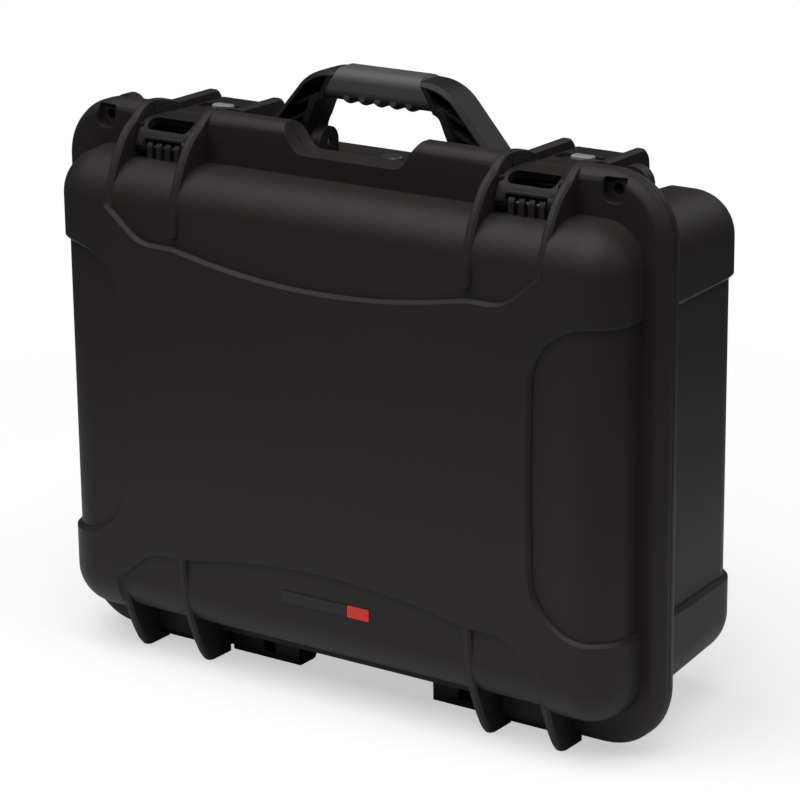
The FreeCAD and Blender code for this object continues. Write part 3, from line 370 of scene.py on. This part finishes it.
def slim_button(piece):
    """Draws the slide's button in to its slimmer, lower form, about the middle of its foot."""
    top = max(vertex.co.z for vertex in piece.data.vertices)
    button = [vertex for vertex in piece.data.vertices if vertex.co.z > top - BUTTON_HEIGHT]
    ends = [[pick(vertex.co[axis] for vertex in button) for axis in range(2)] for pick in (min, max)]
    foot = Vector(((ends[0][0] + ends[1][0]) / 2, (ends[0][1] + ends[1][1]) / 2, top - BUTTON_HEIGHT))
    for vertex in button:
        away = vertex.co - foot
        vertex.co = foot + Vector([reach * slim for reach, slim in zip(away, BUTTON_SLIM)])


def cap_reach(angle):
    """Distance of the cap's round front from the claw's pivot, at an angle from upright."""
    along = CAP_BEHIND * math.sin(angle)
    return math.sqrt(along ** 2 + CAP_RADIUS ** 2 - CAP_BEHIND ** 2) - along


def claw_nose(side):
    """Rounded lip round the claw's pivot, with a notch in the middle over the lid's teeth."""
    x, y, z = joint_places["latch_%s_swing" % side]
    stations = (
        (-NOSE_HALF, NOSE_LOW),
        (-NOSE_NOTCH - NOSE_NOTCH_SLANT, NOSE_LOW),
        (-NOSE_NOTCH, NOSE_NOTCH_LOW),
        (NOSE_NOTCH, NOSE_NOTCH_LOW),
        (NOSE_NOTCH + NOSE_NOTCH_SLANT, NOSE_LOW),
        (NOSE_HALF, NOSE_LOW),
    )
    rings = []
    for out, low in stations:
        ring = []
        for skin, steps in ((1, range(NOSE_STEPS + 1)), (0, range(NOSE_STEPS, -1, -1))):
            for step in steps:
                share = step / NOSE_STEPS
                angle = math.radians(NOSE_TOP + (low - NOSE_TOP) * share)
                far = cap_reach(angle) + NOSE_PROUD * min(1, 2 * share) - (1 - skin) * NOSE_THICK
                ring.append((x + out, y - far * math.sin(angle), z + far * math.cos(angle)))
        rings.append(ring)
    add_piece("claw_nose_" + side, loft(rings), latch_plastic, "latch_" + side)


for side in ("left", "right"):
    moulded_copy("latch_claw_" + side, "latch_" + side, latch_plastic)
    moulded_copy("latch_lever_" + side, "lever_" + side, latch_plastic)
    slim_button(moulded_copy("slide_lock_" + side, "lock_" + side, slide_plastic))

for side in ("left", "right"):
    claw_nose(side)


# Handle
# A moulded bow with ribbed hollow legs turns between ears on the base.
# A soft slate-grey grip is moulded over its middle, with five finger pads under it.

GRIP_SLATE = ((0.0235, 0.0236, 0.0260, 1), (0.0295, 0.0297, 0.0322, 1))
PAD_COUNT = 5
PAD_PITCH = 0.013
PAD_RADIUS = 0.0026
PAD_EDGE = 0.0004
PAD_SETBACK = 0.0009
PAD_RAISE = 0.0047
ROD_SIDES = 28
grip_rubber = finish_material("slate_grip_rubber", GRIP_SLATE, roughness=0.62, grain=0.0005, depth=0.0001,
                              edge=0.0008)
moulded_copy("handle_frame", "handle", latch_plastic)
moulded_copy("handle_grip", "handle", grip_rubber)


def sized_tree(name, sizes):
    """Empty node tree with one named input for each size, and its inputs wrapped by name."""
    tree = bpy.data.node_groups.new(name, "GeometryNodeTree")
    kinds = {int: "NodeSocketInt", float: "NodeSocketFloat", tuple: "NodeSocketVector"}
    for size, value in sizes.items():
        tree.interface.new_socket(size, in_out="INPUT", socket_type=kinds[type(value)])
    tree.interface.new_socket("Geometry", in_out="OUTPUT", socket_type="NodeSocketGeometry")
    start = Shade(tree)
    return start, {size: start.node("NodeGroupInput", out=size) for size in sizes}


def soft_rod(start, radius, length, edge):
    """Upright round rod with a bevelled rim at both ends, for a node tree."""
    rod = start.node("GeometryNodeMeshCylinder", {},
                     {"Vertices": ROD_SIDES, "Radius": radius, "Depth": length - 2 * edge}, out="Mesh")
    shape = rod
    for tip in ("Top", "Bottom"):
        drawn = start.node("GeometryNodeExtrudeMesh", {},
                           {"Mesh": shape, "Selection": rod.beside(tip), "Offset Scale": edge}, out="Mesh")
        narrow = 1 - edge * (1.0 / radius)
        shape = start.node("GeometryNodeScaleElements", {},
                           {"Geometry": drawn, "Selection": drawn.beside("Top"), "Scale": narrow})
    return shape


def grown_piece(name, start, shape, sizes, material, body):
    """Ends a node tree, turns its result into a plain mesh and lets it ride on a body."""
    solid = start.node("GeometryNodeRealizeInstances", {}, {"Geometry": shape})
    solid = start.node("GeometryNodeSetMaterial", {}, {"Geometry": solid, "Material": material})
    end = start.tree.nodes.new("NodeGroupOutput")
    start.tree.links.new(solid.socket, end.inputs["Geometry"])
    piece = bpy.data.objects.new(name, bpy.data.meshes.new(name + "_seed"))
    bpy.context.collection.objects.link(piece)
    growth = piece.modifiers.new("growth", "NODES")
    growth.node_group = start.tree
    for item in start.tree.interface.items_tree:
        if item.name in sizes:
            growth[item.identifier] = sizes[item.name]
    mesh = bpy.data.meshes.new_from_object(piece.evaluated_get(bpy.context.evaluated_depsgraph_get()))
    piece.modifiers.remove(growth)
    piece.data = mesh
    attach(piece, body)


grip_low, grip_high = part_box("handle_grip")
pad_sizes = {
    "Count": PAD_COUNT,
    "Radius": PAD_RADIUS,
    "Edge": PAD_EDGE,
    "Length": grip_high[1] - grip_low[1] - 2 * PAD_SETBACK,
    "First": (-PAD_PITCH * (PAD_COUNT - 1) / 2, (grip_low[1] + grip_high[1]) / 2, grip_low[2] + PAD_RAISE),
    "Pitch": (PAD_PITCH, 0.0, 0.0),
}
pads, pad = sized_tree("finger_pads", pad_sizes)
pad_places = pads.node("GeometryNodeMeshLine", {"mode": "OFFSET"},
                       {"Count": pad["Count"], "Start Location": pad["First"], "Offset": pad["Pitch"]})
pad_rod = soft_rod(pads, pad["Radius"], pad["Length"], pad["Edge"])
pad_row = pads.node("GeometryNodeInstanceOnPoints", {},
                    {"Points": pad_places, "Instance": pad_rod, "Rotation": (math.pi / 2, 0, 0)})
grown_piece("finger_pads", pads, pad_row, pad_sizes, grip_rubber, "handle")


# Vent valve
# A small round cap on the base lets air pressure even out. It is moulded in a hard dark plastic, with a
# ring of fine ribs round its rim, and its stem is held inside by a nut.

VALVE_BLACK = ((0.016, 0.016, 0.0155, 1), (0.022, 0.022, 0.021, 1))
RIB_COUNT = 24
RIB_RADIUS = 0.0006
RIB_HEIGHT = 0.0016
RIB_EDGE = 0.0002
RIB_INSET = 0.0003
RIB_BELOW_TOP = 0.0018
valve_plastic = finish_material("valve_plastic", VALVE_BLACK, roughness=0.38, grain=0.0005, depth=0.00008,
                                edge=0.0005)
moulded_copy("valve_body", "base", valve_plastic)
moulded_copy("valve_nut", "base", valve_plastic)

valve_low, valve_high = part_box("valve_body")
valve_middle = [(low + high) / 2 for low, high in zip(valve_low, valve_high)]
rib_sizes = {
    "Count": RIB_COUNT,
    "Reach": (valve_high[0] - valve_low[0]) / 2 - RIB_INSET,
    "Radius": RIB_RADIUS,
    "Height": RIB_HEIGHT,
    "Edge": RIB_EDGE,
    "Middle": (valve_middle[0], valve_middle[1], valve_high[2] - RIB_BELOW_TOP),
}
ribs, rib = sized_tree("valve_ribs", rib_sizes)
rib_places = ribs.node("GeometryNodeMeshCircle", {}, {"Vertices": rib["Count"], "Radius": rib["Reach"]})
rib_places = ribs.node("GeometryNodeTransform", {}, {"Geometry": rib_places, "Translation": rib["Middle"]})
rib_rod = soft_rod(ribs, rib["Radius"], rib["Height"], rib["Edge"])
rib_ring = ribs.node("GeometryNodeInstanceOnPoints", {}, {"Points": rib_places, "Instance": rib_rod})
grown_piece("valve_ribs", ribs, rib_ring, rib_sizes, valve_plastic, "base")


# Studio
# A sheer white floor fades into a white surround, and lets a lid that is opened below it show through.
# A wide soft light hangs overhead, with weaker ones at the right and behind.

FLOOR_REACH = 3.0
FLOOR_FADE = (0.45, 0.95)
FLOOR_LIFT = 0.06
FLOOR_BODY = 0.5
FLOOR_ROUGH = 0.9
FLOOR_WHITE = (0.84, 0.84, 0.84, 1)
FLOOR_SEEN = (0.66, 0.66, 0.66, 1)
SURROUND_WHITE = (1, 1, 1, 1)
SURROUND_LIGHT = 0.06
floor_mesh = bpy.data.meshes.new("studio_floor")
floor_corners = [(x * FLOOR_REACH, y * FLOOR_REACH, 0) for x, y in ((-1, -1), (1, -1), (1, 1), (-1, 1))]
floor_mesh.from_pydata(floor_corners, [], [(0, 1, 2, 3)])
studio_floor = bpy.data.objects.new("studio_floor", floor_mesh)
bpy.context.collection.objects.link(studio_floor)
floor_paint = bpy.data.materials.new("floor_paint")
floor_paint.use_nodes = True
paint = floor_paint.node_tree.nodes["Principled BSDF"]
paint.inputs["Roughness"].default_value = FLOOR_ROUGH
paint.inputs["Specular IOR Level"].default_value = 0.0
paint.inputs["Emission Strength"].default_value = 1.0
under = Shade(floor_paint.node_tree)
spot = under.node("ShaderNodeTexCoord", out="Object")
away = under.node("ShaderNodeVectorMath", {"operation": "LENGTH"}, {0: spot}, out="Value")
fade = under.node("ShaderNodeMapRange", {"interpolation_type": "SMOOTHSTEP"},
                  {"Value": away, "From Min": FLOOR_FADE[0], "From Max": FLOOR_FADE[1],
                   "To Min": 1.0, "To Max": 0.0})
looked_at = under.node("ShaderNodeLightPath", out="Is Camera Ray")
floor_looks = {
    "Alpha": fade * (1 - looked_at * (1 - FLOOR_BODY)),
    "Base Color": under.between(looked_at, FLOOR_WHITE, FLOOR_SEEN),
    "Emission Color": looked_at * FLOOR_LIFT,
}
for socket, look in floor_looks.items():
    floor_paint.node_tree.links.new(look.socket, paint.inputs[socket])
floor_mesh.materials.append(floor_paint)


def soft_light(name, place, aim, width, depth, watts):
    """Rectangular soft light that points at a place."""
    data = bpy.data.lights.new(name, "AREA")
    data.shape = "RECTANGLE"
    data.size = width
    data.size_y = depth
    data.energy = watts
    lamp = bpy.data.objects.new(name, data)
    lamp.location = place
    lamp.rotation_euler = (Vector(aim) - Vector(place)).to_track_quat("-Z", "Y").to_euler()
    bpy.context.collection.objects.link(lamp)


soft_light("overhead", place=(-0.1, -0.8, 2.35), aim=(0, 0, 0.2), width=3.2, depth=2.6, watts=124)
soft_light("right_side", place=(2.0, 0.1, 1.6), aim=(0, 0, 0.25), width=1.2, depth=1.4, watts=13)
soft_light("back_fill", place=(0.7, 2.0, 1.7), aim=(0, 0, 0.25), width=1.8, depth=1.2, watts=13)

world = bpy.data.worlds.new("studio_surround")
bpy.context.scene.world = world
world.use_nodes = True
surround = world.node_tree.nodes["Background"]
seen = Shade(world.node_tree).node("ShaderNodeLightPath", out="Is Camera Ray")
glow = seen * (1 - SURROUND_LIGHT) + SURROUND_LIGHT
surround.inputs["Color"].default_value = SURROUND_WHITE
world.node_tree.links.new(glow.socket, surround.inputs["Strength"])


# Camera
# A long lens at the photograph's height and angle, a little rolled.
# Its place is fitted to the outline, the latches and the feet of the case.

AZIMUTH = math.radians(34.99)
ELEVATION = math.radians(17.31)
ROLL = math.radians(-0.63)
DISTANCE = 2.3287
AIM = Vector((0.00367, 0.00039, 0.20282))
SENSOR_WIDTH = 36.0
FOCAL_LENGTH = 147.57
lens = bpy.data.cameras.new("photo_camera")
lens.sensor_width = SENSOR_WIDTH
lens.lens = FOCAL_LENGTH
camera = bpy.data.objects.new("photo_camera", lens)
level = math.cos(ELEVATION)
offset = Vector((math.sin(AZIMUTH) * level, -math.cos(AZIMUTH) * level, math.sin(ELEVATION)))
turned = (-offset).to_track_quat("-Z", "Y").to_matrix() @ Matrix.Rotation(ROLL, 3, "Z")
camera.matrix_world = Matrix.Translation(AIM + offset * DISTANCE) @ turned.to_4x4()
bpy.context.collection.objects.link(camera)
bpy.context.scene.camera = camera
bpy.context.scene.view_settings.view_transform = "Standard"
